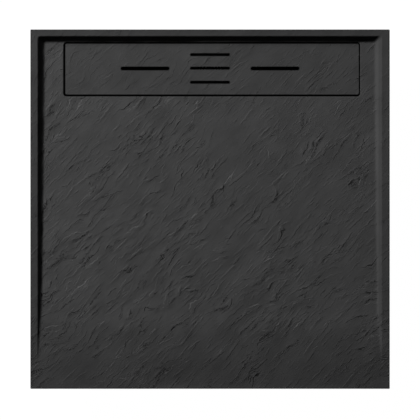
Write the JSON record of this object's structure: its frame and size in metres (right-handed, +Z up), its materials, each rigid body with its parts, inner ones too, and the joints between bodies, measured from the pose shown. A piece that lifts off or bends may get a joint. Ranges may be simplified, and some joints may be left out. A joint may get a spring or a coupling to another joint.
{
  "type": "shower tray",
  "caption": "Square slate-effect shower tray, rimmed on three sides, with a slotted linear drain cover, waste, trap and levelling feet.",
  "frame": {"origin": "middle of the footprint, on the bathroom floor under the feet", "axes": "+Z up, +Y to the back where the drain cover lies, +X to the right seen from the step-in edge"},
  "size_m": [0.9, 0.9, 0.155],
  "materials": {
    "slate_skin": "satin",
    "cast_stone": "matte",
    "rubber": "matte",
    "stainless_steel": "satin",
    "zinc_steel": "satin",
    "white_plastic": "satin",
    "grey_plastic": "satin",
    "black_plastic": "satin"
  },
  "bodies": {
    "tray": {"tray_skin": "slate_skin", "tray_core": "cast_stone", "waste_flange": "black_plastic", "flange_screws": "stainless_steel", "upper_gasket": "rubber", "lower_gasket": "rubber", "trap_top": "white_plastic", "trap_bowl": "white_plastic", "outlet_socket": "white_plastic", "outlet_seal": "rubber", "outlet_nut": "grey_plastic", "foot_sockets": "black_plastic", "socket_screws": "zinc_steel", "foot_lock_nuts": "zinc_steel"},
    "cover": {"drain_cover": "slate_skin", "cover_pads": "rubber"},
    "strainer": {"hair_strainer": "black_plastic"},
    "dip": {"dip_tube": "grey_plastic", "dip_tube_seal": "rubber"},
    "outlet": {"outlet_spigot": "white_plastic"},
    "foot_back_left": {"foot_rod_back_left": "zinc_steel", "foot_pad_back_left": "black_plastic", "foot_rubber_back_left": "rubber"},
    "foot_back_right": {"foot_rod_back_right": "zinc_steel", "foot_pad_back_right": "black_plastic", "foot_rubber_back_right": "rubber"},
    "foot_front_left": {"foot_rod_front_left": "zinc_steel", "foot_pad_front_left": "black_plastic", "foot_rubber_front_left": "rubber"},
    "foot_front_right": {"foot_rod_front_right": "zinc_steel", "foot_pad_front_right": "black_plastic", "foot_rubber_front_right": "rubber"},
    "foot_middle": {"foot_rod_middle": "zinc_steel", "foot_pad_middle": "black_plastic", "foot_rubber_middle": "rubber"}
  },
  "joints": [
    {"name": "cover_lift", "type": "slide", "parent": "tray", "child": "cover", "axis": [0, 0, 1], "range_m": [0, 0.3]},
    {"name": "strainer_lift", "type": "slide", "parent": "tray", "child": "strainer", "axis": [0, 0, 1], "range_m": [0, 0.2]},
    {"name": "dip_tube_lift", "type": "slide", "parent": "tray", "child": "dip", "axis": [0, 0, 1], "range_m": [0, 0.11]},
    {"name": "outlet_swivel", "type": "hinge", "parent": "tray", "child": "outlet", "pos_m": [0.084, 0.35115, 0.078], "axis": [0, 0, 1], "range_deg": [-10, 10]},
    {"name": "foot_back_left_height", "type": "slide", "parent": "tray", "child": "foot_back_left", "axis": [0, 0, -1], "range_m": [-0.01, 0.015]},
    {"name": "foot_back_right_height", "type": "slide", "parent": "tray", "child": "foot_back_right", "axis": [0, 0, -1], "range_m": [-0.01, 0.015]},
    {"name": "foot_front_left_height", "type": "slide", "parent": "tray", "child": "foot_front_left", "axis": [0, 0, -1], "range_m": [-0.01, 0.015]},
    {"name": "foot_front_right_height", "type": "slide", "parent": "tray", "child": "foot_front_right", "axis": [0, 0, -1], "range_m": [-0.01, 0.015]},
    {"name": "foot_middle_height", "type": "slide", "parent": "tray", "child": "foot_middle", "axis": [0, 0, -1], "range_m": [-0.01, 0.015]}
  ],
  "couplings": [
    {"joint": "strainer_lift", "follows": "cover_lift", "ratio": 0.6666},
    {"joint": "dip_tube_lift", "follows": "cover_lift", "ratio": 0.3666}
  ]
}
